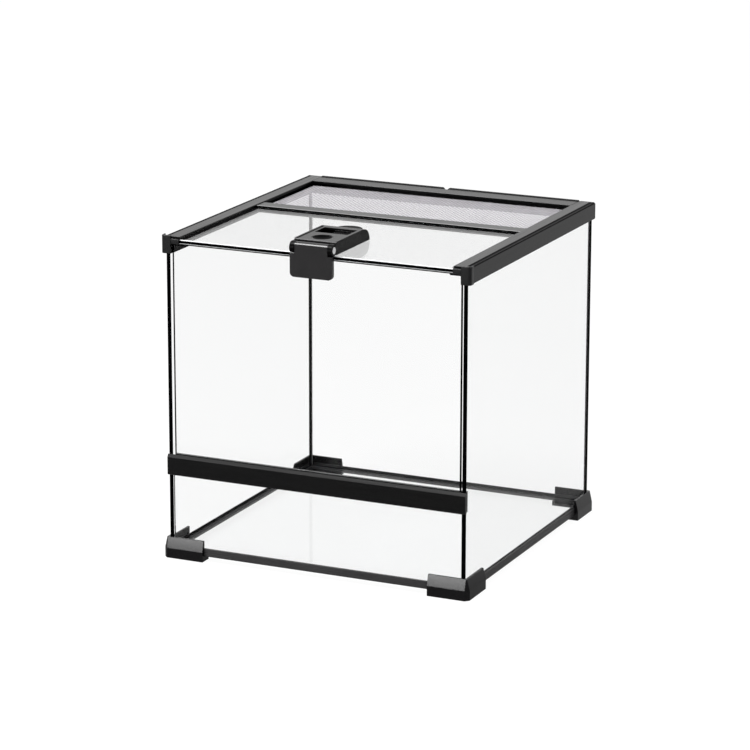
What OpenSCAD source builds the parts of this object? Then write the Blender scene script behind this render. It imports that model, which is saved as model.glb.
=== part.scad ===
// Front-opening glass reptile terrarium. Units are millimetres.
// X runs along the front, Y runs from front to back and Z is up.
// Z = 0 is the face of the foot pads. Y = 0 is the middle of the whole depth.

/* [Glass box] */
// outside width over the two side panes
tank_w = 300; // [296:1:304]
// outside depth over the front and rear panes
tank_d = 300; // [296:1:304]
// top face of the top pane above the ground
roof_z = 305; // [300:1:340]
// thickness of every pane
pane_t = 4; // [3.8:0.1:4]
// gap left between a pane and the part that holds it
fit = 0.15; // [0.1:0.05:0.2]

/* [Base] */
// underside of the base strips above the ground
strip_z = 5.2; // [4.8:0.1:6]
// height of the outer leg of a base strip
strip_h = 8; // [7:0.5:9]
// thickness of the leg outside the glass
strip_leg = 1.1; // [0.9:0.1:1.2]
// thickness of the flange under the glass
strip_flange = 2.6; // [2:0.1:3]
// reach of the flange measured inward from the outer pane face
strip_reach = 8; // [7:0.5:12]

/* [Feet] */
// how far a foot stands out from the glass at its base
foot_out = 5; // [4:0.5:6]
// length of each wing from the outer corner
foot_len = 41; // [36:1:46]
// height of the upright part of a wing
foot_low = 9.6; // [8:0.2:10]
// height where the sloping face meets the glass
foot_high = 20.3; // [18:0.1:22]
// how far the top of the slope stands out from the glass
foot_lip = 2.4; // [2:0.1:3]
// chamfer on the outer upright corner
foot_cham = 3.6; // [2.4:0.2:4]
// chamfer left at the top of the slope
lip_cham = 0.8; // [0.4:0.2:1.4]
// side of the square rubber pad
pad_side = 9; // [7:0.5:9.5]

/* [Front bar] */
// underside of the bar
bar_z = 80.7; // [76:0.1:90]
// height of the flat front face
bar_face = 17.1; // [15:0.1:20]
// height of the bevel above the face
bar_bevel = 2.8; // [2:0.2:3]
// how far the face stands in front of the glass
bar_out = 3; // [2.4:0.2:4]
// thickness of the wall behind the door
bar_wall = 3; // [2:0.2:5]
// depth of the slot over the lower front pane
bar_slot = 9; // [6:0.5:12]

/* [Door] */
// gap on each side of the door
door_gap = 2.2; // [1.5:0.1:3]

/* [Top frame] */
// outer face of the side rails beyond the glass
rail_over = 2.5; // [2:0.1:3]
// height of the outer face
rail_h = 15.9; // [14:0.1:18]
// thickness of the flange over the top pane
rail_cap_t = 2.6; // [2:0.1:3]
// width of the top of a side rail
rail_w = 16.5; // [14:0.5:18]
// width of the top of the rear rail
rear_w = 23; // [18:0.5:26]
// reach of the lip under the glass beyond the top of the rail
lip_reach = 5; // [3:0.5:6]
// thickness of that lip
lip_t = 2.7; // [2:0.1:3]
// height of the ridge along the back
ridge_h = 1.3; // [0.5:0.1:1.5]
// depth of the cable notch
notch_d = 3.5; // [2:0.1:3.5]
// front edge of the cross bar behind the middle of the glass box
bar2_y = 6.5; // [0:0.5:20]
// width of the top of the cross bar
bar2_w = 15; // [12:0.5:20]
// how far the top of the cross bar lies below the rails
bar2_low = 0.8; // [0.4:0.1:1.2]
// thickness of the front end caps
cap_t = 2.5; // [1.5:0.1:3]

/* [Vent gauze] */
// thickness of the gauze
gauze_t = 0.6; // [0.4:0.1:1]
// width of one strand
strand_w = 0.5; // [0.4:0.1:1.2]
// openings across the width
gauze_nx = 26; // [10:1:26]
// openings from front to back
gauze_ny = 11; // [5:1:11]

/* [Latch] */
// width of the latch
latch_w = 42; // [38:1:46]
// height of the latch body over the top pane
latch_h = 12; // [11.5:0.1:13]
// rear end of the body behind the glass front edge
latch_len = 73; // [71:1:80]
// radius of the hinge barrel
barrel_r = 5.3; // [5.1:0.1:5.4]
// width of one knuckle
knuckle_w = 4.4; // [4:0.1:5]
// radius of the hinge pin
pin_r = 1.6; // [1.4:0.1:1.8]
// height of the pin axis over the top pane
pin_up = 5.6; // [5.6:0.1:5.9]
// distance of the pin axis in front of the glass
pin_out = 3.2; // [3:0.1:3.4]
// distance of the flap's front face from the pin axis
flap_face = 4.1; // [3.9:0.1:4.2]
// thickness of the flap
flap_t = 4.2; // [3.6:0.1:4.4]
// how far the flap hangs below the top face of the glass
flap_drop = 21.3; // [18:0.5:24]
// radius of the flap's lower corners
flap_r = 4; // [2:0.5:6]
// radius of the push button
button_r = 9.6; // [8:0.2:10]
// travel of the lock slide
lock_travel = 3.2; // [2:0.1:3.2]
// radius of the thumb tail
tail_r = 13; // [10:0.5:14]

/* [Hidden] */
$fn = 48;
eps = 0.01;
hw = tank_w/2;
hd = tank_d/2;
pane_in = hw - pane_t;
pane_in_y = hd - pane_t;
pin_y = -hd - pin_out;
pin_z = roof_z + pin_up;
flap_front = pin_y - flap_face;
plate_y = flap_front + flap_t;
y_shift = -(pin_y - barrel_r + hd + foot_out)/2;
floor_z = strip_z + strip_flange;
strip_top = strip_z + strip_h;
foot_base = 0.2;
cham_in = (2*(foot_out - foot_lip) - foot_cham + lip_cham)/sqrt(2);
cham_tilt = atan(cham_in/(foot_high - foot_low));
pad_x = hw - 2.5;
pad_y = hd - 2.5;
pad_top = 1.9;
seam_w = 0.8;
bar_top = bar_z + bar_face + bar_bevel;
bar_half = hw + 0.5;
door_z = bar_z + bar_face + 0.2;
door_floor = door_z - 0.3;
door_half = pane_in - door_gap;
roof_under = roof_z - pane_t - 0.3;
roof_reach = hw - 4;
roof_back = bar2_y + 7;
door_top = roof_under - 0.3;
door_back = pane_in_y - 0.45;
rail_top = roof_z + rail_cap_t;
rail_bot = rail_top - rail_h;
rail_in = hw + rail_over - rail_w;
rail_out = hw + rail_over;
rail_end = hd + 0.5;
leg_t = 2.3;
lip_bot = roof_under - lip_t;
lip_in = rail_in - lip_reach;
pane_top = lip_bot - 0.5;
rear_in = hd + rail_over - rear_w;
rear_lip = rear_in - lip_reach;
bar2_back = bar2_y + bar2_w;
notch_x = -2.2;
notch_w = 8;
notch_len = 13.6;
cap_out = hw + 3.9;
cap_r = 3;
cap_wrap = 4.5;
cap_z0 = rail_bot - 0.2;
cap_z1 = rail_top + 1;
tab_in = rail_in + 0.2;
gauze_z = roof_under + 1.5;
half_latch = latch_w/2;
case_z = roof_z + 0.3;
case_top = roof_z + latch_h;
case_back = -hd + latch_len;
case_front = pin_y + barrel_r + 0.4;
case_r = 12;
skin = 2;
wall = 1.8;
rim_w = 1.6;
rim_h = 0.6;
knuckle_in = half_latch - knuckle_w;
barrel_half = knuckle_in - 0.3;
head_r = pin_r*2;
head_t = 1;
deck_z = roof_z + 1;
deck_t = 1.2;
deck_top = deck_z + deck_t;
screw_r = 1.1;
screw_head_r = 2;
boss_r = 2.1;
screw_x = half_latch - wall - boss_r + 0.1;
screw_y = [case_front + wall + boss_r - 0.1, case_back - 6];
button_y = pin_y + 20.2;
flange_r = button_r + 1.1;
flange_z = case_top - skin - 0.2;
lock_z = deck_top + 0.4;
lock_t = 2.2;
lock_half = tail_r;
tongue_half = 5;
tongue_in = flap_face + 0.4;
tongue_y = pin_y + tongue_in + lock_travel;
tail_y = case_back - 1;
tail_z = roof_z + 4.2;
tail_top = roof_z + 8.7;
window_x0 = -16;
window_x1 = 17;
window_y0 = -hd + 34;
window_y1 = -hd + 55;
thumb_x0 = -5;
thumb_x1 = 16.5;
thumb_y0 = window_y0 + lock_travel + 0.6;
thumb_y1 = window_y1 - 0.5;
thumb_z = case_top - 3.4;
spring_r = 4.2;
wire_r = 0.4;
spring_turns = 4;
buffer_half = 12;
buffer_z = roof_z - 20;
buffer_h = 6;
c_frame = [0.10, 0.10, 0.105];
c_foot = [0.16, 0.155, 0.16];
c_glass = [0.86, 0.91, 0.90, 0.28];
c_gauze = [0.72, 0.71, 0.75];
c_latch = [0.18, 0.175, 0.18];
c_dark = [0.06, 0.06, 0.065];
c_metal = [0.86, 0.86, 0.87];
c_rubber = [0.08, 0.08, 0.08];

// helpers
module seat() {
  translate([0, y_shift, 0])
    children();
}

module block(x0, x1, y0, y1, z0, z1) {
  translate([x0, y0, z0])
    cube([x1 - x0, y1 - y0, z1 - z0]);
}

// a profile drawn in (Y, Z), run along X
module run_x(x0, x1) {
  translate([x0, 0, 0])
    rotate([90, 0, 90])
      linear_extrude(x1 - x0)
        children();
}

// a profile drawn in (X, Z), run along Y
module run_y(y0, y1) {
  translate([0, y1, 0])
    rotate([90, 0, 0])
      linear_extrude(y1 - y0)
        children();
}

// an outline drawn in (X, Y), raised between two heights
module slab(z0, z1) {
  translate([0, 0, z0])
    linear_extrude(z1 - z0)
      union()
        children();
}

module rod_x(r, x0, x1, y, z) {
  translate([x0, y, z])
    rotate([0, 90, 0])
      cylinder(r = r, h = x1 - x0);
}

// base
// cross-section with the outer pane face at d, outward positive
module strip_2d(d) {
  polygon([
    [d + strip_leg, strip_z],
    [d + strip_leg, strip_top - 0.6],
    [d + strip_leg - 0.5, strip_top],
    [d + 0.05, strip_top],
    [d + 0.05, floor_z],
    [d - strip_reach, floor_z],
    [d - strip_reach, strip_z + 0.8],
    [d - strip_reach + 0.8, strip_z]
  ]);
}

module strip_rear() {
  intersection() {
    run_x(-hw - strip_leg, hw + strip_leg)
      strip_2d(hd);
    linear_extrude(60)
      polygon([[0, hd - hw + 0.15], [hw + 9, hd + 9.15], [-hw - 9, hd + 9.15]]);
  }
}

module strip_side() {
  intersection() {
    run_y(-hd - strip_leg, hd + strip_leg)
      strip_2d(hw);
    linear_extrude(60)
      polygon([[hw - hd, 0], [hw + 9, hd + 9], [hw + 9, -hd - 9]]);
  }
}

module base_strip_rear() {
  color(c_foot)
    seat()
      strip_rear();
}

module base_strip_front() {
  color(c_foot)
    seat()
      mirror([0, 1, 0])
        strip_rear();
}

module base_strip_right() {
  color(c_foot)
    seat()
      strip_side();
}

module base_strip_left() {
  color(c_foot)
    seat()
      mirror([1, 0, 0])
        strip_side();
}

// feet
// wing profile: distance from the box middle against height
module wing_2d(d) {
  polygon([
    [d + foot_out, foot_base],
    [d + foot_out, foot_low],
    [d + foot_lip, foot_high],
    [d + 0.1, foot_high],
    [d + 0.1, strip_top + 0.1],
    [d + strip_leg + 0.1, strip_top + 0.1],
    [d + strip_leg + 0.1, strip_z - 0.1],
    [d - strip_reach, strip_z - 0.1],
    [d - strip_reach, foot_base]
  ]);
}

// foot at the +X +Y corner
module foot() {
  x_end = hw + foot_out - foot_len;
  y_end = hd + foot_out - foot_len;
  difference() {
    union() {
      intersection() {
        run_x(x_end, hw + foot_out)
          wing_2d(hd);
        linear_extrude(60)
          polygon([[x_end, hd - 20], [x_end, hd + 9], [hw + 9, hd + 9], [hw - 20, hd - 20]]);
      }
      intersection() {
        run_y(y_end, hd + foot_out)
          wing_2d(hw);
        linear_extrude(60)
          polygon([[hw - 20, y_end], [hw + 9, y_end], [hw + 9, hd + 9], [hw - 20, hd - 20]]);
      }
    }
    translate([hw + foot_out, hd + foot_out, 30])
      rotate([0, 0, 45])
        cube([foot_cham*sqrt(2), 20, 70], center = true);
    translate([hw + foot_out - foot_cham/2, hd + foot_out - foot_cham/2, foot_low])
      rotate([0, -cham_tilt, 45])
        translate([0, -10, -5])
          cube([20, 20, 30]);
    translate([pad_x, pad_y, 0])
      cube([pad_side + 0.2, pad_side + 0.2, 2*pad_top], center = true);
  }
}

module foot_rear_right() {
  color(c_foot)
    seat()
      foot();
}

module foot_rear_left() {
  color(c_foot)
    seat()
      mirror([1, 0, 0])
        foot();
}

module foot_front_right() {
  color(c_foot)
    seat()
      mirror([0, 1, 0])
        foot();
}

module foot_front_left() {
  color(c_foot)
    seat()
      mirror([1, 0, 0])
        mirror([0, 1, 0])
          foot();
}

module foot_pads() {
  color(c_rubber)
    seat()
      for (i = [-1, 1], j = [-1, 1])
        translate([i*pad_x, j*pad_y, pad_top/2])
          cube([pad_side, pad_side, pad_top], center = true);
}

// glass
module floor_pane() {
  fx = pane_in - 0.4;
  fy = pane_in_y - 0.4;
  color(c_glass)
    seat()
      block(-fx, fx, -fy, fy, floor_z, floor_z + pane_t);
}

module side_pane() {
  block(pane_in, hw, -hd, hd, floor_z, pane_top);
}

module side_pane_right() {
  color(c_glass)
    seat()
      side_pane();
}

module side_pane_left() {
  color(c_glass)
    seat()
      mirror([1, 0, 0])
        side_pane();
}

module rear_pane() {
  color(c_glass)
    seat()
      block(-pane_in + 0.3, pane_in - 0.3, pane_in_y, hd, floor_z, pane_top);
}

module lower_front_pane() {
  color(c_glass)
    seat()
      block(-pane_in + 0.3, pane_in - 0.3, -hd, -pane_in_y, floor_z, bar_z + bar_slot - 0.3);
}

module door_pane() {
  color(c_glass)
    seat()
      block(-door_half, door_half, -hd, -pane_in_y, door_z, door_top);
}

module top_pane() {
  color(c_glass)
    seat()
      block(-roof_reach, roof_reach, -hd, roof_back, roof_under + fit, roof_z);
}

module seam() {
  foot_z = floor_z + pane_t + 0.3;
  translate([0, 0, foot_z])
    linear_extrude(rail_bot - 0.5 - foot_z)
      polygon([
        [pane_in, pane_in_y],
        [pane_in - seam_w, pane_in_y],
        [pane_in, pane_in_y - seam_w]
      ]);
}

module seam_rear_right() {
  color(c_dark)
    seat()
      seam();
}

module seam_rear_left() {
  color(c_dark)
    seat()
      mirror([1, 0, 0])
        seam();
}

// front bar
module front_bar() {
  y0 = -hd - bar_out;
  y1 = -pane_in_y + fit;
  y2 = y1 + bar_wall;
  yf = -hd - fit;
  color(c_frame)
    seat()
      difference() {
        run_x(-bar_half, bar_half)
          polygon([
            [y0, bar_z + 0.8],
            [y0, bar_z + bar_face],
            [y0 + bar_out - 1.2, bar_top],
            [yf, door_floor],
            [y1, door_floor],
            [y1, bar_top - 0.3],
            [y2, bar_top - 0.3],
            [y2, bar_z],
            [y1, bar_z],
            [y1, bar_z + bar_slot],
            [yf, bar_z + bar_slot],
            [yf, bar_z],
            [y0 + 0.8, bar_z]
          ]);
        for (k = [-1, 1])
          translate([k*(hw + 1), 0, bar_z + 30])
            cube([2*(hw + 1 - pane_in + 0.2), 2*(hd + 0.1), 80], center = true);
      }
}

// top frame
// rail section: d is the outer face of the pane, t the inner edge of the flange
module rail_2d(d, t, ridge) {
  out = d + rail_over;
  slot_out = d + fit;
  slot_in = d - pane_t - fit;
  groove = d - 3.7;
  polygon([
    [t, roof_z + 0.1],
    [t, rail_top - 0.4],
    [t + 0.4, rail_top],
    [out - 5, rail_top],
    [out - 3.6, rail_top - 0.7 + ridge],
    [out - 0.9, rail_top - 0.5 + ridge],
    [out, rail_top - 1.4 + ridge],
    [out, rail_bot],
    [slot_out, rail_bot],
    [slot_out, pane_top + 0.3],
    [slot_in, pane_top + 0.3],
    [slot_in, rail_bot],
    [slot_in - leg_t, rail_bot],
    [slot_in - leg_t, lip_bot],
    [t - lip_reach, lip_bot],
    [t - lip_reach, roof_under - 0.4],
    [t - lip_reach + 0.4, roof_under],
    [groove, roof_under],
    [groove, roof_z + 0.1]
  ]);
}

module side_rail() {
  difference() {
    run_y(-rail_end, rail_end)
      rail_2d(hw, rail_in, 0);
    block(lip_in - 1, door_half + 0.4, -rail_end - 1, -door_back, rail_bot - 1, roof_under);
    block(lip_in - 1, pane_in + 0.1, rear_lip - 0.3, rail_end + 1, rail_bot - 1, roof_under + eps);
  }
}

module top_rail_right() {
  color(c_frame)
    seat()
      side_rail();
}

module top_rail_left() {
  color(c_frame)
    seat()
      mirror([1, 0, 0])
        side_rail();
}

module top_rail_rear() {
  up = rail_in - 0.1;
  low = pane_in - 0.3;
  color(c_frame)
    seat()
      difference() {
        union() {
          run_x(-up, up)
            rail_2d(hd, rear_in, ridge_h);
          intersection() {
            run_x(-low, low)
              rail_2d(hd, rear_in, ridge_h);
            block(-hw, hw, 0, rail_end, 0, roof_under - 0.1);
          }
        }
        translate([notch_x, hd + 10, rail_top + ridge_h - notch_d])
          rotate([90, 0, 0])
            linear_extrude(notch_len)
              polygon([
                [-notch_w/2, notch_d + 1],
                [-notch_w/2, notch_d],
                [-0.9, 0],
                [0.9, 0],
                [notch_w/2, notch_d],
                [notch_w/2, notch_d + 1]
              ]);
      }
}

module cross_bar() {
  up = rail_in - 0.1;
  y0 = bar2_y;
  y1 = bar2_back;
  top = rail_top - bar2_low;
  color(c_frame)
    seat()
      difference() {
        run_x(-up, up)
          polygon([
            [y0, roof_z + 0.1],
            [y0, top - 0.4],
            [y0 + 0.4, top],
            [y1 - 0.4, top],
            [y1, top - 0.4],
            [y1, roof_under],
            [y1 + lip_reach, roof_under],
            [y1 + lip_reach, lip_bot],
            [y0 - lip_reach, lip_bot],
            [y0 - lip_reach, roof_under - 0.4],
            [y0 - lip_reach + 0.4, roof_under],
            [roof_back + 0.4, roof_under],
            [roof_back + 0.4, roof_z + 0.1]
          ]);
        for (k = [-1, 1])
          translate([k*hw, 0, lip_bot])
            cube([2*(hw - lip_in + 0.3), 2*hd, 2*(lip_t + 0.1)], center = true);
      }
}

// cap on the front end of the +X side rail
module cap_front() {
  y1 = -rail_end - 0.1;
  y0 = y1 - cap_t;
  x0 = door_half + 0.3;
  slab(cap_z0, cap_z1) {
    translate([x0, y0])
      square([cap_out - cap_r - x0, y1 - y0]);
    translate([rail_out + 0.1, y0 + cap_r])
      square([cap_out - rail_out - 0.1, cap_wrap]);
    intersection() {
      translate([cap_out - cap_r, y0 + cap_r])
        circle(r = cap_r);
      union() {
        translate([cap_out - cap_r - 0.1, y0])
          square([9, y1 - y0]);
        translate([rail_out + 0.1, y0])
          square([9, cap_r + 0.1]);
      }
    }
  }
  block(tab_in, x0 + 1, y0 + 0.4, y1, roof_under, roof_z + 0.7);
}

module rail_cap_front_right() {
  color(c_frame)
    seat()
      cap_front();
}

module rail_cap_front_left() {
  color(c_frame)
    seat()
      mirror([1, 0, 0])
        cap_front();
}

// cap on the rear end of the +X side rail
module cap_rear() {
  translate([0, rail_end + 0.1, 0])
    mirror([0, 1, 0])
      rotate([90, 0, 0])
        linear_extrude(1.9)
          polygon([
            [rail_in + 1, rail_bot],
            [rail_out, rail_bot],
            [rail_out, rail_top - 1.4],
            [rail_out - 1.4, rail_top],
            [rail_in + 1, rail_top]
          ]);
}

module rail_cap_rear_right() {
  color(c_frame)
    seat()
      cap_rear();
}

module rail_cap_rear_left() {
  color(c_frame)
    seat()
      mirror([1, 0, 0])
        cap_rear();
}

// vent gauze
module gauze_panel() {
  gx = rail_in - 0.6;
  gy0 = bar2_back + 0.3;
  gy1 = rear_in - 0.3;
  step_x = (2*gx - strand_w)/gauze_nx;
  step_y = (gy1 - gy0 - strand_w)/gauze_ny;
  color(c_gauze)
    seat()
      union() {
        for (i = [0:gauze_nx])
          block(-gx + i*step_x, -gx + i*step_x + strand_w, gy0, gy1, gauze_z, gauze_z + gauze_t);
        for (j = [0:gauze_ny])
          block(-gx, gx, gy0 + j*step_y, gy0 + j*step_y + strand_w, gauze_z, gauze_z + gauze_t);
      }
}

// flat frame that carries the gauze on the lips around the vent
module gauze_frame() {
  sx = rail_in - 0.3;
  sy0 = bar2_back + 0.2;
  sy1 = rear_in - 0.2;
  color(c_dark)
    seat()
      difference() {
        block(-sx, sx, sy0, sy1, roof_under, gauze_z);
        block(-sx + lip_reach, sx - lip_reach, sy0 + lip_reach, sy1 - lip_reach, 0, gauze_z + 9);
      }
}

// latch
module latch_side_2d() {
  intersection() {
    polygon([
      [case_front, case_z],
      [case_front, case_top - 0.5],
      [case_front + 0.5, case_top],
      [case_back + 9, case_top],
      [case_back + 9, case_z]
    ]);
    union() {
      translate([case_front - 1, case_z - 1])
        square([case_back - case_r - case_front + 1, latch_h + 9]);
      translate([case_front - 1, case_z - 1])
        square([case_back - case_front + 1, case_top - case_r - case_z + 1]);
      translate([case_back - case_r, case_top - case_r])
        circle(r = case_r);
    }
  }
}

module latch_cavity_2d() {
  y0 = case_front + wall;
  translate([y0, case_z - 1])
    square([case_back - 7.8 - y0, case_top - skin - case_z + 1]);
  translate([y0, case_z - 1])
    square([case_back - wall - y0, case_top - 7.6 - case_z + 1]);
}

module knuckle() {
  rod_x(barrel_r, knuckle_in, half_latch, pin_y, pin_z);
  block(knuckle_in, half_latch, pin_y, case_front + 1, pin_z - 3.5, pin_z + barrel_r);
  block(half_latch - rim_w, half_latch, case_front + 0.5, case_back - case_r - 1,
    case_top - 0.5, case_top + rim_h);
}

module pin_head(gap) {
  rod_x(head_r + gap, half_latch - head_t, half_latch + 0.3 + 9*gap, pin_y, pin_z);
}

module latch_body() {
  color(c_latch)
    seat()
      difference() {
        union() {
          difference() {
            run_x(-half_latch, half_latch)
              latch_side_2d();
            run_x(-half_latch + wall, half_latch - wall)
              latch_cavity_2d();
          }
          knuckle();
          mirror([1, 0, 0])
            knuckle();
          for (i = [-1, 1], y = screw_y)
            translate([i*screw_x, y, deck_top])
              cylinder(r = boss_r, h = 4);
        }
        rod_x(pin_r + eps, -half_latch - 1, half_latch + 1, pin_y, pin_z);
        pin_head(0.05);
        mirror([1, 0, 0])
          pin_head(0.05);
        translate([0, button_y, case_top - skin - 1])
          cylinder(r = button_r + 0.3, h = skin + 9);
        block(window_x0, window_x1, window_y0, window_y1, case_top - skin - 1, case_top + 9);
        block(-tongue_half - 0.4, tongue_half + 0.4, case_front - 1, case_front + wall + 1,
          lock_z - 0.3, lock_z + lock_t + 0.3);
        block(-tail_r - 0.4, tail_r + 0.4, case_back - 9, case_back + 1, tail_z - 0.4, tail_top + 0.4);
        for (i = [-1, 1], y = screw_y)
          translate([i*screw_x, y, deck_top - 1])
            cylinder(r = screw_r + eps, h = 4.2);
      }
}

// plate that closes the body underneath
module latch_deck() {
  inset = wall + 0.1;
  color(c_latch)
    seat()
      difference() {
        block(-half_latch + inset, half_latch - inset, case_front + inset, case_back - inset, deck_z, deck_top);
        for (i = [-1, 1], y = screw_y)
          translate([i*screw_x, y, deck_z - 1]) {
            cylinder(r = screw_r + 0.05, h = deck_t + 2);
            cylinder(r = screw_head_r + 0.05, h = 1.75);
          }
      }
}

module latch_screws() {
  color(c_metal)
    seat()
      for (i = [-1, 1], y = screw_y)
        translate([i*screw_x, y, deck_z]) {
          cylinder(r = screw_head_r, h = 0.7);
          cylinder(r = screw_r, h = 4);
        }
}

module latch_glue() {
  color(c_rubber)
    seat()
      block(-half_latch + 2.5, half_latch - 2.5, case_front + 2.5, case_back - 2.5, roof_z, deck_z);
}

module hinge_pin() {
  color(c_metal)
    seat() {
      rod_x(pin_r, -half_latch, half_latch, pin_y, pin_z);
      pin_head(0);
      mirror([1, 0, 0])
        pin_head(0);
    }
}

module flap_plate_2d() {
  bottom = roof_z - flap_drop;
  shoulder = pin_z - barrel_r - 0.4;
  translate([-half_latch, bottom + flap_r])
    square([latch_w, shoulder - bottom - flap_r]);
  translate([-half_latch + flap_r, bottom])
    square([latch_w - 2*flap_r, flap_r + 1]);
  for (k = [-1, 1])
    translate([k*(half_latch - flap_r), bottom + flap_r])
      circle(r = flap_r);
  translate([-barrel_half, shoulder - 1])
    square([2*barrel_half, pin_z - shoulder + 1]);
}

module latch_flap() {
  color(c_latch)
    seat()
      difference() {
        union() {
          run_y(flap_front, plate_y)
            flap_plate_2d();
          rod_x(barrel_r, -barrel_half, barrel_half, pin_y, pin_z);
        }
        rod_x(pin_r + 0.05, -half_latch, half_latch, pin_y, pin_z);
        block(-tongue_half - 0.4, tongue_half + 0.4, pin_y + tongue_in - 0.35, pin_y + 9,
          lock_z - 0.3, lock_z + lock_t + 0.3);
        block(-half_latch, half_latch, flap_front - 9, flap_front, pin_z - 9, pin_z + 9);
      }
}

// soft pad between the flap and the door
module flap_buffer() {
  color(c_rubber)
    seat()
      block(-buffer_half, buffer_half, plate_y, -hd - 0.3, buffer_z, buffer_z + buffer_h);
}

module release_button() {
  dish_r = 30;
  color(c_latch)
    seat()
      translate([0, button_y, 0])
        difference() {
          union() {
            translate([0, 0, flange_z - 1.2])
              cylinder(r = flange_r, h = 1.2);
            translate([0, 0, flange_z - 1.2])
              cylinder(r = button_r, h = case_top - 0.3 - flange_z + 1.2);
          }
          translate([0, 0, case_top - 1.7 + dish_r])
            sphere(r = dish_r, $fn = 96);
          translate([0, 0, flange_z - 1.3])
            cylinder(r = spring_r + 0.9, h = 0.7);
        }
}

function coil_at(a, z0, lead) = [spring_r*cos(a), spring_r*sin(a), z0 + lead*a/360];

// round wire wound round the vertical axis
module button_spring() {
  z0 = deck_top + wire_r + 0.02;
  z1 = flange_z - 0.65 - wire_r;
  lead = (z1 - z0)/spring_turns;
  per_turn = 20;
  sides = 8;
  count = spring_turns*per_turn;
  pts = [
    for (i = [0:count])
      let (a = i*360/per_turn, c = coil_at(a, z0, lead))
        for (k = [0:sides - 1])
          let (b = k*360/sides)
            [c[0] + wire_r*cos(b)*cos(a), c[1] + wire_r*cos(b)*sin(a), c[2] + wire_r*sin(b)]
  ];
  skin_faces = [
    for (i = [0:count - 1], k = [0:sides - 1])
      let (n = (k + 1)%sides)
        [i*sides + k, i*sides + n, (i + 1)*sides + n, (i + 1)*sides + k]
  ];
  end_a = [for (k = [0:sides - 1]) sides - 1 - k];
  end_b = [for (k = [0:sides - 1]) count*sides + k];
  color(c_metal)
    seat()
      translate([0, button_y, 0])
        polyhedron(points = pts, faces = concat(skin_faces, [end_a, end_b]), convexity = 8);
}

module lock_slide() {
  slot_r = spring_r + 1.2;
  front = case_front + wall + lock_travel + 0.4;
  back = case_back - wall - 0.6;
  color(c_latch)
    seat()
      difference() {
        union() {
          block(-tongue_half, tongue_half, tongue_y, front + 1, lock_z, lock_z + lock_t);
          block(-lock_half, lock_half, front, back, lock_z, lock_z + lock_t);
          block(-7, 7, back - 9, back, lock_z, tail_top);
          intersection() {
            translate([0, tail_y, tail_z])
              cylinder(r = tail_r, h = tail_top - tail_z, $fn = 96);
            block(-tail_r, tail_r, back - 4, tail_y + tail_r + 1, tail_z - 1, tail_top + 1);
          }
          block(thumb_x0, thumb_x1, thumb_y0, thumb_y1, lock_z, thumb_z);
          block(thumb_x0, thumb_x1, thumb_y1 - 1.3, thumb_y1, lock_z, thumb_z + 1.6);
          block(thumb_x0, thumb_x1, thumb_y1 - 4.4, thumb_y1 - 3.3, lock_z, thumb_z + 0.7);
        }
        block(-slot_r, slot_r, button_y - slot_r, button_y + slot_r + lock_travel, lock_z - 1, lock_z + 9);
      }
}

// drawing
base_strip_front();
base_strip_rear();
base_strip_left();
base_strip_right();
foot_front_left();
foot_front_right();
foot_rear_left();
foot_rear_right();
foot_pads();
floor_pane();
side_pane_left();
side_pane_right();
rear_pane();
lower_front_pane();
front_bar();
door_pane();
top_rail_left();
top_rail_right();
top_rail_rear();
cross_bar();
rail_cap_front_left();
rail_cap_front_right();
rail_cap_rear_left();
rail_cap_rear_right();
gauze_panel();
gauze_frame();
top_pane();
seam_rear_left();
seam_rear_right();
latch_body();
latch_deck();
latch_glue();
latch_screws();
hinge_pin();
latch_flap();
flap_buffer();
release_button();
button_spring();
lock_slide();
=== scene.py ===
import math

import bpy
from mathutils import Matrix, Vector


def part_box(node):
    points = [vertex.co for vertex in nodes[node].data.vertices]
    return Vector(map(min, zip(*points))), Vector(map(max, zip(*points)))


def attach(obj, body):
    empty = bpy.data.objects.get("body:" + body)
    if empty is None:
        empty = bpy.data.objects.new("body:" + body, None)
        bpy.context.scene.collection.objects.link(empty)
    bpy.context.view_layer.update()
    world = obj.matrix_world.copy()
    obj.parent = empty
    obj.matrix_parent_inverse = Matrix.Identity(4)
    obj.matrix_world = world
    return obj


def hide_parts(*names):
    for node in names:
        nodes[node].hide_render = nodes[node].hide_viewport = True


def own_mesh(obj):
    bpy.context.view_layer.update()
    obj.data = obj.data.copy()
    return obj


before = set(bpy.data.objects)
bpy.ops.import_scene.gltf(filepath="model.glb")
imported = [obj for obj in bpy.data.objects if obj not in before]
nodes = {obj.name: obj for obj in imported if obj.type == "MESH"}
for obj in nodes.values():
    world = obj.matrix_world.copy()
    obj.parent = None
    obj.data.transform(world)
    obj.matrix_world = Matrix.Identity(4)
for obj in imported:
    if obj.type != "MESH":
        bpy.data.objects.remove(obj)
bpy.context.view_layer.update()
print("frame loaded:", len(nodes), "nodes")


# selection and mesh helpers
def deselectAll():
    if bpy.context.object and bpy.context.object.mode != "OBJECT":
        bpy.ops.object.mode_set(mode="OBJECT")
    bpy.ops.object.select_all(action="DESELECT")


def pick(piece):
    deselectAll()
    piece.select_set(True)
    bpy.context.view_layer.objects.active = piece


def applyModifiers(piece):
    pick(piece)
    for modifier in list(piece.modifiers):
        bpy.ops.object.modifier_apply(modifier=modifier.name)


def settle(piece):
    pick(piece)
    bpy.ops.object.transform_apply(location=True, rotation=True, scale=True)


def editMesh(piece, *steps):
    pick(piece)
    bpy.ops.object.mode_set(mode="EDIT")
    bpy.ops.mesh.select_all(action="SELECT")
    for step in steps:
        step()
    bpy.ops.object.mode_set(mode="OBJECT")


# node helpers
noiseRange = {"rough": 0.55, "low": 0.35, "high": 0.65, "rampLow": 0.3, "rampHigh": 0.7}


def startMaterial(name):
    material = bpy.data.materials.new(name)
    material.use_nodes = True
    tree = material.node_tree
    return material, tree, tree.nodes["Principled BSDF"]


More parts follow.
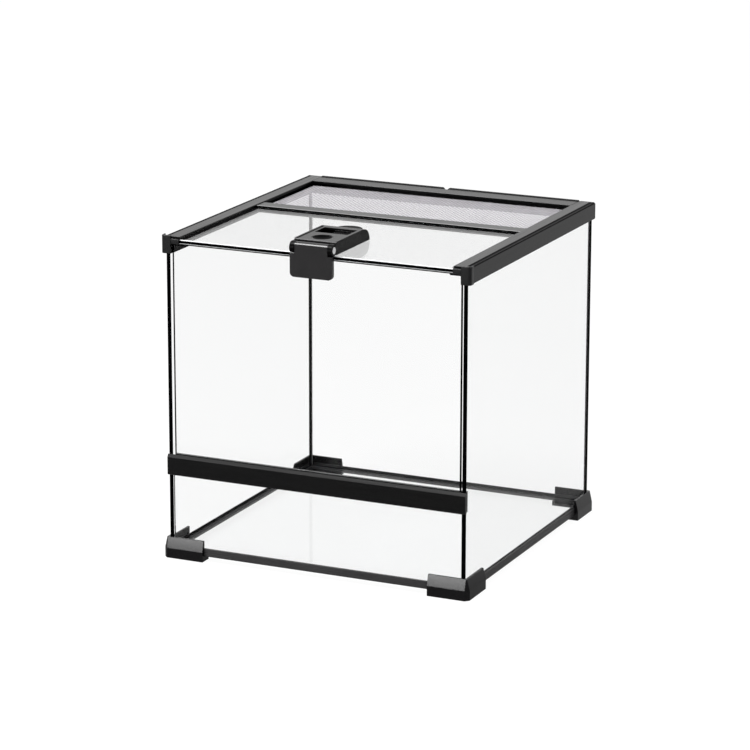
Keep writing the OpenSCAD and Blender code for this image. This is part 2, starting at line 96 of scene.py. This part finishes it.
def addNode(tree, kind, **values):
    node = tree.nodes.new(kind)
    for key, value in values.items():
        if key in node.inputs:
            node.inputs[key].default_value = value
        else:
            setattr(node, key, value)
    return node


def objectPattern(tree, scale, stretch=(1, 1, 1), detail=2.0):
    place = addNode(tree, "ShaderNodeTexCoord")
    turn = addNode(tree, "ShaderNodeMapping", Scale=stretch)
    rough = noiseRange["rough"]
    noise = addNode(tree, "ShaderNodeTexNoise", Scale=scale, Detail=detail, Roughness=rough)
    tree.links.new(place.outputs["Object"], turn.inputs["Vector"])
    tree.links.new(turn.outputs["Vector"], noise.inputs["Vector"])
    return noise.outputs["Fac"]


def spread(tree, source, low, high, fromLow=noiseRange["low"], fromHigh=noiseRange["high"]):
    between = addNode(tree, "ShaderNodeMapRange")
    between.inputs["From Min"].default_value = fromLow
    between.inputs["From Max"].default_value = fromHigh
    between.inputs["To Min"].default_value = low
    between.inputs["To Max"].default_value = high
    tree.links.new(source, between.inputs["Value"])
    return between.outputs["Result"]


def twoTone(tree, source, first, second):
    tones = addNode(tree, "ShaderNodeValToRGB")
    ends = zip(tones.color_ramp.elements, ("rampLow", "rampHigh"), (first, second))
    for element, place, tone in ends:
        element.position = noiseRange[place]
        element.color = (*tone, 1)
    tree.links.new(source, tones.inputs["Fac"])
    return tones.outputs["Color"]


# how far tone and roughness stray from their settings, and how strong the grain is
strays = {
    "plastic": {"tone": (0.86, 1.16), "rough": (-0.05, 0.07), "bump": 0.35},
    "rubber": {"tone": (0.8, 1.25), "rough": (-0.08, 0.08), "bump": 0.5},
    "metal": {"tone": (0.93, 1.04), "rough": (-0.05, 0.08), "bump": 0.2},
    "edge": {"tone": (0.8, 1.2), "rough": (-0.08, 0.1), "bump": 0.4},
}


def dressSurface(tree, shader, kind, look, cloud, fine, depth):
    stray = strays[kind]
    dark, light = (tuple(min(c * share, 1) for c in look["tone"]) for share in stray["tone"])
    tree.links.new(twoTone(tree, cloud, dark, light), shader.inputs["Base Color"])
    smooth, rough = (look["rough"] + change for change in stray["rough"])
    tree.links.new(spread(tree, fine, smooth, rough), shader.inputs["Roughness"])
    bump = addNode(tree, "ShaderNodeBump", Strength=stray["bump"], Distance=depth)
    tree.links.new(fine, bump.inputs["Height"])
    tree.links.new(bump.outputs["Normal"], shader.inputs["Normal"])
    if "gloss" in look:
        shader.inputs["IOR"].default_value = look["gloss"]


# black plastics: tone, gloss, roughness, and the axis along which a profile was drawn
plasticLooks = {
    "stripAlongX": ((0.034, 0.033, 0.034), 1.4, 0.3, 0),
    "stripAlongY": ((0.030, 0.029, 0.030), 1.4, 0.3, 1),
    "footMoulding": ((0.0032, 0.0028, 0.0034), 1.42, 0.18, None),
    "barAlongX": ((0.003, 0.003, 0.0031), 1.45, 0.2, 0),
    # painted highlight: the front bar's bevel, glossier than the bar
    "barBevel": ((0.003, 0.003, 0.0031), 1.62, 0.2, 0),
    # painted highlight: the front bar's top ledge, lighter and glossier, a bright line
    "barLedge": ((0.02, 0.02, 0.021), 1.7, 0.15, 0),
    "railAlongX": ((0.0025, 0.0025, 0.0027), 1.42, 0.18, 0),
    "railRear": ((0.002, 0.0019, 0.0021), 1.3, 0.2, 0),
    "railAlongY": ((0.0025, 0.0025, 0.0027), 1.33, 0.2, 1),
    # painted shade: the side rails' outer shoulder, dark and dull like a shaded groove
    "shoulder": ((0.006, 0.006, 0.0063), 1.05, 0.3, 1),
    # painted shade: the rear rail's upward ridge faces, made dark and dull
    "ridge": ((0.004, 0.004, 0.0042), 1.13, 0.25, 0),
    # painted shade: inner walls of the rails, nearly black as where shade falls
    "innerWallShade": ((0.002, 0.002, 0.0021), 1.17, 0.3, 0),
    # painted shade: the cross bar's upright faces, made near black
    "crossWall": ((0.002, 0.002, 0.0021), 1.04, 0.3, 0),
    "capMoulding": ((0.012, 0.012, 0.0125), 1.37, 0.24, None),
    "latchMoulding": ((0.005, 0.0049, 0.0051), 1.28, 0.2, None),
    # painted shade: the latch body's side walls, duller than its top
    "latchWall": ((0.005, 0.0049, 0.0051), 1.16, 0.25, None),
    # painted shade: the hinge knuckles, made near black
    "knuckle": ((0.003, 0.003, 0.0031), 1.12, 0.22, None),
    "flapMoulding": ((0.018, 0.0173, 0.018), 1.45, 0.2, None),
    # painted highlight: the release button, lighter and far glossier for a bright rim arc
    "buttonHighlight": ((0.02, 0.02, 0.021), 2.0, 0.12, None),
    # painted shade: the button's dish, black and dull
    "dish": ((0.002, 0.002, 0.0022), 1.03, 0.2, None),
    "slideMoulding": ((0.004, 0.004, 0.0042), 1.3, 0.18, None),
    # painted highlight: the thumb block's top, lighter and glossier than the slide
    "blockTop": ((0.02, 0.02, 0.021), 1.75, 0.15, None),
    # painted shade: the lock slide's rear disc, made black on top
    "tail": ((0.002, 0.002, 0.0021), 1.05, 0.2, None),
}
# mouldings have a fine grain, drawn profiles faint die lines along their run
plasticGrain = {
    "cloud": 22.0,
    "cloudDetail": 3.0,
    "moulded": 2600.0,
    "mouldedDepth": 0.00002,
    "die": 1500.0,
    "dieStretch": 0.01,
    "dieDepth": 0.000003,
}


def plastic(name):
    tone, gloss, rough, run = plasticLooks[name]
    material, tree, shader = startMaterial(name)
    cloud = objectPattern(tree, plasticGrain["cloud"], detail=plasticGrain["cloudDetail"])
    if run is None:
        fine = objectPattern(tree, plasticGrain["moulded"])
        depth = plasticGrain["mouldedDepth"]
    else:
        stretch = [1.0, 1.0, 1.0]
        stretch[run] = plasticGrain["dieStretch"]
        fine = objectPattern(tree, plasticGrain["die"], tuple(stretch))
        depth = plasticGrain["dieDepth"]
    look = {"tone": tone, "gloss": gloss, "rough": rough}
    dressSurface(tree, shader, "plastic", look, cloud, fine, depth)
    return material


plastics = {name: plastic(name) for name in plasticLooks}

# rubber and silicone
rubberLooks = {
    "padRubber": {"tone": (0.018, 0.018, 0.018), "rough": 0.75, "gloss": 1.4},
    "sealSilicone": {"tone": (0.012, 0.012, 0.013), "rough": 0.35, "gloss": 1.4},
}
pore = {"scale": 1500.0, "detail": 4.0, "depth": 0.0001}


def rubber(name):
    material, tree, shader = startMaterial(name)
    pores = objectPattern(tree, pore["scale"], detail=pore["detail"])
    dressSurface(tree, shader, "rubber", rubberLooks[name], pores, pores, pore["depth"])
    return material


rubbers = {name: rubber(name) for name in rubberLooks}

# metals
metalLooks = {
    "pinSteel": {"tone": (0.86, 0.86, 0.87), "rough": 0.16},
    "gauzeWire": {"tone": (0.27, 0.262, 0.276), "rough": 0.5},
}
streak = {
    "pinSteel": {"scale": 1400.0, "stretch": (0.05, 1, 1), "detail": 3.0},
    "gauzeWire": {"scale": 700.0, "stretch": (1, 1, 1), "detail": 3.0},
}
streakDepth = 0.00002


def metal(name):
    material, tree, shader = startMaterial(name)
    streaks = objectPattern(tree, **streak[name])
    dressSurface(tree, shader, "metal", metalLooks[name], streaks, streaks, streakDepth)
    shader.inputs["Metallic"].default_value = 1.0
    return material


metals = {name: metal(name) for name in metalLooks}

# clear float glass that darkens along long paths, with its mirror strength by material
glassLook = {
    "ior": 1.42,
    "tint": (0.86, 0.866, 0.865),
    "density": 70.0,
    "shadow": (0.94, 0.95, 0.95),
}
glassMirror = {"paneGlass": 0.25, "roofGlass": 0.75}


def glass(name):
    material, tree, shader = startMaterial(name)
    shader.inputs["Base Color"].default_value = (1, 1, 1, 1)
    shader.inputs["Roughness"].default_value = 0.0
    shader.inputs["IOR"].default_value = glassLook["ior"]
    shader.inputs["Transmission Weight"].default_value = 1.0
    output = tree.nodes["Material Output"]
    paths = addNode(tree, "ShaderNodeLightPath")
    clear = addNode(tree, "ShaderNodeBsdfTransparent", Color=(*glassLook["shadow"], 1))
    mix = addNode(tree, "ShaderNodeMixShader")
    through = addNode(tree, "ShaderNodeBsdfRefraction", Roughness=0.0, IOR=glassLook["ior"])
    both = addNode(tree, "ShaderNodeMixShader")
    both.inputs[0].default_value = glassMirror[name]
    tree.links.new(through.outputs["BSDF"], both.inputs[1])
    tree.links.new(shader.outputs["BSDF"], both.inputs[2])
    tree.links.new(paths.outputs["Is Shadow Ray"], mix.inputs[0])
    tree.links.new(both.outputs["Shader"], mix.inputs[1])
    tree.links.new(clear.outputs["BSDF"], mix.inputs[2])
    tree.links.new(mix.outputs["Shader"], output.inputs["Surface"])
    body = addNode(tree, "ShaderNodeVolumeAbsorption", Density=glassLook["density"])
    body.inputs["Color"].default_value = (*glassLook["tint"], 1)
    tree.links.new(body.outputs["Volume"], output.inputs["Volume"])
    return material


panesClear = {name: glass(name) for name in glassMirror}
paneGlass = panesClear["paneGlass"]

# cut edges: blackened where they lie open; pale ground arris on the roof, partly a painted
# highlight; pale ends at the rear, painted light that stands in for the look through them
edgeLooks = {
    "darkEdge": {"tone": (0.0008, 0.0008, 0.0009), "rough": 0.22, "gloss": 1.03},
    # partly ground arris, partly painted highlight: a pale band along the roof's edges
    "paleArris": {"tone": (0.68, 0.69, 0.695), "rough": 0.45, "gloss": 1.45},
    # painted light: the rear pane's ends near white, standing in for the view through the glass
    "paleEnd": {"tone": (0.93, 0.93, 0.93), "rough": 0.45, "gloss": 1.45},
}
grind = {"scale": 1800.0, "detail": 3.0, "depth": 0.00003}


def groundEdge(name):
    material, tree, shader = startMaterial(name)
    marks = objectPattern(tree, grind["scale"], detail=grind["detail"])
    dressSurface(tree, shader, "edge", edgeLooks[name], marks, marks, grind["depth"])
    return material


edges = {name: groundEdge(name) for name in edgeLooks}
print("materials ready")

# each CAD node takes its finish by name
finishes = {
    "base_strip_front": plastics["stripAlongX"],
    "base_strip_rear": plastics["stripAlongX"],
    "base_strip_left": plastics["stripAlongY"],
    "base_strip_right": plastics["stripAlongY"],
    "foot_pads": rubbers["padRubber"],
    "flap_buffer": rubbers["padRubber"],
    "latch_glue": rubbers["padRubber"],
    "front_bar": plastics["barAlongX"],
    "top_rail_left": plastics["railAlongY"],
    "top_rail_right": plastics["railAlongY"],
    "top_rail_rear": plastics["railRear"],
    "cross_bar": plastics["railAlongX"],
    "gauze_frame": plastics["railAlongX"],
    "latch_flap": plastics["flapMoulding"],
    # the release button's plastic carries a painted highlight on its rim
    "release_button": plastics["buttonHighlight"],
    "lock_slide": plastics["slideMoulding"],
    "hinge_pin": metals["pinSteel"],
    "latch_screws": metals["pinSteel"],
    "button_spring": metals["pinSteel"],
    "gauze_panel": metals["gauzeWire"],
}


def finishFor(name):
    if name in finishes:
        return finishes[name]
    if name.endswith("_pane") or name.startswith("side_pane"):
        return paneGlass
    if name.startswith("foot_"):
        return plastics["footMoulding"]
    if name.startswith("rail_cap"):
        return plastics["capMoulding"]
    if name.startswith("seam"):
        return rubbers["sealSilicone"]
    return plastics["latchMoulding"]


for name, node in nodes.items():
    node.data.materials.clear()
    node.data.materials.append(finishFor(name))
print("CAD nodes dressed")

# copies of the nodes with softened edges, which catch the light: slot, body, radius
softEdges = {
    "base_strip_front": ("strip_plastic", "case", 0.00035),
    "base_strip_rear": ("strip_plastic", "case", 0.00035),
    "base_strip_left": ("strip_plastic", "case", 0.00035),
    "base_strip_right": ("strip_plastic", "case", 0.00035),
    "foot_front_left": ("foot_plastic", "case", 0.0004),
    "foot_front_right": ("foot_plastic", "case", 0.0004),
    "foot_rear_left": ("foot_plastic", "case", 0.0004),
    "foot_rear_right": ("foot_plastic", "case", 0.0004),
    "front_bar": ("bar_plastic", "case", 0.0006),
    "top_rail_left": ("rail_plastic", "case", 0.0003),
    "top_rail_right": ("rail_plastic", "case", 0.0003),
    "top_rail_rear": ("rail_plastic", "case", 0.0003),
    "cross_bar": ("rail_plastic", "case", 0.0003),
    "rail_cap_front_left": ("cap_plastic", "case", 0.0005),
    "rail_cap_front_right": ("cap_plastic", "case", 0.0005),
    "rail_cap_rear_left": ("cap_plastic", "case", 0.0004),
    "rail_cap_rear_right": ("cap_plastic", "case", 0.0004),
    "latch_body": ("latch_plastic", "case", 0.00045),
    "latch_flap": ("flap_plastic", "flap", 0.0004),
    "release_button": ("button_plastic", "button", 0.0003),
    "lock_slide": ("slide_plastic", "lock", 0.0003),
}
# an edge that turns by more degrees than this is softened
softAngle = 10
latchAngle = 24
latchPieces = ("latch_body", "latch_flap", "release_button", "lock_slide")
cleaning = {"merge": 0.000002, "flat": 0.5}


def copyNode(name, newName):
    pick(nodes[name])
    bpy.ops.object.duplicate()
    piece = bpy.context.object
    piece.name = newName
    for key in list(piece.keys()):
        if key.startswith("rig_"):
            del piece[key]
    settle(piece)
    editMesh(
        piece,
        lambda: bpy.ops.mesh.remove_doubles(threshold=cleaning["merge"]),
        lambda: bpy.ops.mesh.dissolve_limited(angle_limit=math.radians(cleaning["flat"])),
    )
    return piece


# softened corners never stand out of the node's own box
def keepInside(piece, name):
    low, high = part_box(name)
    for vertex in piece.data.vertices:
        for axis in range(3):
            vertex.co[axis] = min(max(vertex.co[axis], low[axis]), high[axis])


def camelName(name, ending):
    first, *rest = name.split("_")
    return first + "".join(word.capitalize() for word in rest) + ending


def softCopy(name):
    slotName, body, radius = softEdges[name]
    piece = copyNode(name, camelName(name, "Soft"))
    soft = piece.modifiers.new("soft", "BEVEL")
    soft.width = radius
    soft.segments = 2
    soft.limit_method = "ANGLE"
    soft.angle_limit = math.radians(latchAngle if name in latchPieces else softAngle)
    soft.use_clamp_overlap = True
    even = piece.modifiers.new("even", "WEIGHTED_NORMAL")
    even.keep_sharp = False
    applyModifiers(piece)
    keepInside(piece, name)
    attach(piece, body)
    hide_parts(name)
    return piece


softPieces = {name: softCopy(name) for name in softEdges}

# faces of a moulding that get painted shade (darker, duller copies of its plastic) and painted
# highlight (lighter, glossier copies), picked by the place (m) and the slope of their faces
zones = {
    "shoulderFrom": 0.1474,
    "shoulderTo": 0.1521,
    "shoulderLow": 0.3035,
    "railWall": 0.1472,
    "ridgeFrom": 0.1455,
    "rearWall": 0.147,
    "tailFrom": -0.0765,
    "knuckleTo": -0.146,
    "dishDepth": 0.0001,
}
upward, level = 0.6, 0.3
slopes = {"blockTop": 0.85, "latchWall": 0.8, "barLedge": 0.95}


# puts a shaded or lit copy of a plastic on the faces the mask picks: painted shade and painted
# highlight
def paintShadeHighlight(name, zoneLook, wanted):
    piece = softPieces[name]
    piece.data.materials.append(plastics[zoneLook])
    last = len(piece.data.materials) - 1
    for face in piece.data.polygons:
        if wanted(face.center, face.normal):
            face.material_index = last


def isShoulder(c, n):
    within = zones["shoulderFrom"] < abs(c.x) < zones["shoulderTo"]
    return within and c.z > zones["shoulderLow"] and n.z > upward


def isRailWall(c, n):
    return abs(c.x) < zones["railWall"] and abs(n.z) < level


def isBlockTop(c, n):
    return c.y < zones["tailFrom"] and n.z > slopes["blockTop"]


def isLatchWall(c, n):
    return abs(n.x) > slopes["latchWall"] and c.y > zones["knuckleTo"]


# painted shade on the side rails' outer shoulders and inner walls
for side in ("left", "right"):
    paintShadeHighlight("top_rail_" + side, "shoulder", isShoulder)
    paintShadeHighlight("top_rail_" + side, "innerWallShade", isRailWall)
# painted shade on the rear rail's back ridge
paintShadeHighlight("top_rail_rear", "ridge", lambda c, n: c.y > zones["ridgeFrom"] and n.z > upward)
# painted shade on the rear rail's inner wall
paintShadeHighlight("top_rail_rear", "innerWallShade", lambda c, n: c.y < zones["rearWall"] and abs(n.z) < level)
# painted shade on the cross bar's upright faces
paintShadeHighlight("cross_bar", "crossWall", lambda c, n: abs(n.z) < level)
# painted shade on the lock slide's rear disc
paintShadeHighlight("lock_slide", "tail", lambda c, n: c.y > zones["tailFrom"])
# painted highlight on the top of the thumb block
paintShadeHighlight("lock_slide", "blockTop", isBlockTop)
# painted shade on the latch body's side walls
paintShadeHighlight("latch_body", "latchWall", isLatchWall)
# painted shade on the hinge knuckles
paintShadeHighlight("latch_body", "knuckle", lambda c, n: c.y < zones["knuckleTo"])
# painted highlight on the front bar's bevel
paintShadeHighlight("front_bar", "barBevel", lambda c, n: n.y < -level and n.z > level)
# painted highlight on the front bar's top ledge
paintShadeHighlight("front_bar", "barLedge", lambda c, n: n.z > slopes["barLedge"])
# painted shade in the button's dish, below its rim
buttonTop = max(vertex.co.z for vertex in softPieces["release_button"].data.vertices)
dishTop = buttonTop - zones["dishDepth"]
paintShadeHighlight("release_button", "dish", lambda c, n: n.z > level and c.z < dishTop)
print("softened copies:", len(softPieces))

# the coil under the button, which shortens as the button goes down, is copied onto the case
# with a mesh of its own
coil = copyNode("button_spring", "buttonSpringCoil")
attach(coil, "case")
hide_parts("button_spring")
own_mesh(coil)

# panes: body, thin axis, material of the narrow faces (painted light on the rear pane's ends),
# material and width of the arrises (partly painted highlight on the roof)
panes = {
    "side_pane_left": ("case", 0, edges["darkEdge"], edges["darkEdge"], 0.0003),
    "side_pane_right": ("case", 0, edges["darkEdge"], edges["darkEdge"], 0.0003),
    # the rear pane's ends carry painted light, near white
    "rear_pane": ("case", 1, edges["paleEnd"], paneGlass, 0.0002),
    "lower_front_pane": ("case", 1, paneGlass, paneGlass, 0.0002),
    "door_pane": ("door", 1, edges["darkEdge"], edges["darkEdge"], 0.0003),
    # the roof's arrises are pale ground glass, partly a painted highlight
    "top_pane": ("case", 2, edges["darkEdge"], edges["paleArris"], 0.0008),
    "floor_pane": ("case", 2, paneGlass, paneGlass, 0.0002),
}
arris = {"flat": 0.9, "narrow": 0.2}
# the side panes' outer faces are blackened behind the rear pane's front face
rearBand = {"from": 0.146, "outside": 0.148}


def paneFinish(face, thin):
    center = face.center
    behind = center.y > rearBand["from"] and abs(center.x) > rearBand["outside"]
    if thin == 0 and behind:
        return 1
    facing = abs(face.normal[thin])
    if facing > arris["flat"]:
        return 0
    return 1 if facing < arris["narrow"] else 2


def dressPane(name):
    body, thin, narrowLook, arrisLook, width = panes[name]
    piece = copyNode(name, camelName(name, "Glass"))
    ground = piece.modifiers.new("ground", "BEVEL")
    ground.width = width
    ground.segments = 1
    ground.limit_method = "ANGLE"
    applyModifiers(piece)
    if thin == 0:
        cut = {"plane_co": (0, rearBand["from"], 0), "plane_no": (0, 1, 0)}
        editMesh(piece, lambda: bpy.ops.mesh.bisect(**cut))
    piece.data.materials.clear()
    clear = panesClear["roofGlass"] if name == "top_pane" else paneGlass
    for material in (clear, narrowLook, arrisLook):
        piece.data.materials.append(material)
    for face in piece.data.polygons:
        face.use_smooth = False
        face.material_index = paneFinish(face, thin)
    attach(piece, body)
    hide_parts(name)
    return piece


glassPieces = {name: dressPane(name) for name in panes}
print("panes ground:", len(glassPieces))

# woven vent gauze: one wave of wire is modelled, then repeated along and across
gauze = {"pitch": 0.0025, "wire": 0.00021, "sway": 0.00009, "sides": 4, "join": 0.2}


def repeat(wire, name, count, offset):
    copies = wire.modifiers.new(name, "ARRAY")
    copies.use_relative_offset = False
    copies.use_constant_offset = True
    copies.constant_offset_displace = offset
    copies.count = count
    return copies


def weave(name, alongX, low, high):
    run = high[0] - low[0] if alongX else high[1] - low[1]
    across = high[1] - low[1] if alongX else high[0] - low[0]
    waves = int(run / gauze["pitch"] / 2)
    pairs = int(across / gauze["pitch"] / 2)
    step = run / (2 * waves)
    gap = across / (2 * pairs)
    middleZ = (low[2] + high[2]) / 2
    deselectAll()
    bpy.ops.mesh.primitive_cylinder_add(
        vertices=gauze["sides"], radius=gauze["wire"], depth=2 * step, end_fill_type="NOTHING"
    )
    wire = bpy.context.object
    wire.name = name
    editMesh(wire, lambda: bpy.ops.mesh.bisect(plane_co=(0, 0, 0), plane_no=(0, 0, 1)))
    sway = gauze["sway"] if alongX else -gauze["sway"]
    for vertex in wire.data.vertices:
        lift = sway if abs(vertex.co.z) < step / 2 else -sway
        vertex.co = (vertex.co.z + step, vertex.co.x, vertex.co.y + lift)
    editMesh(
        wire,
        lambda: bpy.ops.mesh.duplicate(),
        lambda: bpy.ops.transform.translate(value=(0, gap, 0)),
    )
    for vertex in wire.data.vertices:
        if vertex.co.y > gap / 2:
            middle = abs(vertex.co.x - step) < step / 2
            vertex.co.z += (-2 if middle else 2) * sway
    along = repeat(wire, "along", waves, (2 * step, 0, 0))
    along.use_merge_vertices = True
    along.merge_threshold = gauze["wire"] * gauze["join"]
    repeat(wire, "across", pairs, (0, 2 * gap, 0))
    applyModifiers(wire)
    editMesh(
        wire,
        lambda: bpy.ops.mesh.fill_holes(sides=gauze["sides"]),
        lambda: bpy.ops.mesh.normals_make_consistent(inside=False),
    )
    for vertex in wire.data.vertices:
        x, y, z = vertex.co
        if alongX:
            vertex.co = (low[0] + x, low[1] + y + gap / 2, middleZ + z)
        else:
            vertex.co = (high[0] - y - gap / 2, low[1] + x, middleZ + z)
    wire.data.update()
    wire.data.materials.append(metals["gauzeWire"])
    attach(wire, "case")
    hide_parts("gauze_panel")
    return wire


gauzeLow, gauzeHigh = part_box("gauze_panel")
warp = weave("gauzeWarp", True, gauzeLow, gauzeHigh)
weft = weave("gauzeWeft", False, gauzeLow, gauzeHigh)
print("gauze woven:", len(warp.data.polygons) + len(weft.data.polygons), "faces")

# stage: pale floor, white surroundings, soft lamps
stage = {
    "floorSize": 60.0,
    "glow": 0.955,
    "shade": 0.1,
    "plain": 0.8,
    "seen": 1.0,
    "ambient": 0.45,
    "mirrored": 0.85,
    "frontMirror": 0.16,
    "rearMirror": 0.56,
    "mirrorFrom": -0.25,
    "mirrorTo": 0.3,
}


def combine(tree, operation, first, second):
    node = addNode(tree, "ShaderNodeMath", operation=operation)
    for index, source in enumerate((first, second)):
        if isinstance(source, (int, float)):
            node.inputs[index].default_value = source
        else:
            tree.links.new(source, node.inputs[index])
    return node.outputs["Value"]


# tells what is seen straight or through glass from what is seen in a reflection
def rayKinds(tree):
    paths = addNode(tree, "ShaderNodeLightPath").outputs
    mirrorCount = combine(tree, "MINIMUM", paths["Glossy Depth"], 1.0)
    depth = combine(tree, "ADD", paths["Glossy Depth"], paths["Diffuse Depth"])
    bounces = combine(tree, "MINIMUM", depth, 1.0)
    straight = combine(tree, "MAXIMUM", paths["Is Camera Ray"], paths["Is Transmission Ray"])
    bent = combine(tree, "MAXIMUM", paths["Is Glossy Ray"], paths["Is Transmission Ray"])
    seen = combine(tree, "MULTIPLY", straight, combine(tree, "SUBTRACT", 1.0, bounces))
    mirrored = combine(tree, "MULTIPLY", bent, mirrorCount)
    return seen, mirrored


def floorMaterial():
    material = bpy.data.materials.new("paleFloor")
    material.use_nodes = True
    tree = material.node_tree
    tree.nodes.clear()
    output = addNode(tree, "ShaderNodeOutputMaterial")
    glow = addNode(tree, "ShaderNodeEmission", Strength=stage["glow"])
    shade = addNode(tree, "ShaderNodeBsdfDiffuse", Color=(stage["shade"],) * 3 + (1,))
    plain = addNode(tree, "ShaderNodeBsdfDiffuse", Color=(stage["plain"],) * 3 + (1,))
    mirrored = addNode(tree, "ShaderNodeEmission")
    both = addNode(tree, "ShaderNodeAddShader")
    notMirrored = addNode(tree, "ShaderNodeMixShader")
    mix = addNode(tree, "ShaderNodeMixShader")
    place = addNode(tree, "ShaderNodeNewGeometry")
    axes = addNode(tree, "ShaderNodeSeparateXYZ")
    tree.links.new(place.outputs["Position"], axes.inputs["Vector"])
    fade = spread(
        tree,
        axes.outputs["Y"],
        stage["frontMirror"],
        stage["rearMirror"],
        stage["mirrorFrom"],
        stage["mirrorTo"],
    )
    tree.links.new(fade, mirrored.inputs["Strength"])
    seen, glossy = rayKinds(tree)
    tree.links.new(glow.outputs["Emission"], both.inputs[0])
    tree.links.new(shade.outputs["BSDF"], both.inputs[1])
    tree.links.new(glossy, notMirrored.inputs[0])
    tree.links.new(plain.outputs["BSDF"], notMirrored.inputs[1])
    tree.links.new(mirrored.outputs["Emission"], notMirrored.inputs[2])
    tree.links.new(seen, mix.inputs[0])
    tree.links.new(notMirrored.outputs["Shader"], mix.inputs[1])
    tree.links.new(both.outputs["Shader"], mix.inputs[2])
    tree.links.new(mix.outputs["Shader"], output.inputs["Surface"])
    return material


deselectAll()
bpy.ops.mesh.primitive_plane_add(size=stage["floorSize"], location=(0, 0, 0))
floor = bpy.context.object
floor.name = "floor"
floor.data.materials.append(floorMaterial())

world = bpy.data.worlds.new("studio")
bpy.context.scene.world = world
world.use_nodes = True
worldTree = world.node_tree
background = worldTree.nodes["Background"]
background.inputs["Color"].default_value = (1, 1, 1, 1)
seen, mirrored = rayKinds(worldTree)
mirror = combine(worldTree, "MULTIPLY", mirrored, stage["mirrored"] - stage["ambient"])
direct = combine(worldTree, "MULTIPLY", seen, stage["seen"] - stage["ambient"])
added = combine(worldTree, "ADD", mirror, direct)
strength = combine(worldTree, "ADD", added, stage["ambient"])
worldTree.links.new(strength, background.inputs["Strength"])

lamps = {
    "lowLamp": {"place": (-0.95, -2.1, 0.44), "size": (1.0, 0.3), "power": 12.2},
    "keyLamp": {"place": (-0.72, -0.6, 2.05), "size": (1.0, 0.7), "power": 40.0},
    "topLamp": {"place": (0.2, 0.3, 2.5), "size": (2.0, 2.0), "power": 8.0},
    "rightLamp": {"place": (2.4, 0.3, 1.0), "size": (1.4, 1.4), "power": 4.0},
}
aim = Vector((0, 0, 0.16))
for name, look in lamps.items():
    data = bpy.data.lights.new(name, "AREA")
    data.shape = "RECTANGLE"
    data.size, data.size_y = look["size"]
    data.energy = look["power"]
    lamp = bpy.data.objects.new(name, data)
    bpy.context.scene.collection.objects.link(lamp)
    lamp.location = look["place"]
    lamp.rotation_euler = (aim - Vector(look["place"])).to_track_quat("-Z", "Y").to_euler()
    lamp.visible_camera = False
    lamp.visible_transmission = False

# camera: place in metres, directions in degrees, lens and sensor in millimetres
shot = {
    "place": (1.3014, -2.84705, 0.9933),
    "azimuth": 24.70,
    "elevation": 14.96,
    "roll": 0.10,
    "lens": 164.67,
    "sensor": 36.0,
    "near": 0.05,
    "far": 200.0,
}
az, el = math.radians(shot["azimuth"]), math.radians(shot["elevation"])
look = Vector((-math.sin(az) * math.cos(el), math.cos(az) * math.cos(el), -math.sin(el)))
cameraData = bpy.data.cameras.new("camera")
cameraData.lens = shot["lens"]
cameraData.sensor_width = shot["sensor"]
cameraData.clip_start = shot["near"]
cameraData.clip_end = shot["far"]
camera = bpy.data.objects.new("camera", cameraData)
bpy.context.scene.collection.objects.link(camera)
camera.location = shot["place"]
turn = look.to_track_quat("-Z", "Y").to_matrix().to_3x3()
roll = math.radians(shot["roll"])
camera.rotation_euler = (turn @ Matrix.Rotation(roll, 3, "Z")).to_euler()
bpy.context.scene.camera = camera
bpy.context.scene.view_settings.view_transform = "Standard"
print("stage, lamps and camera set")
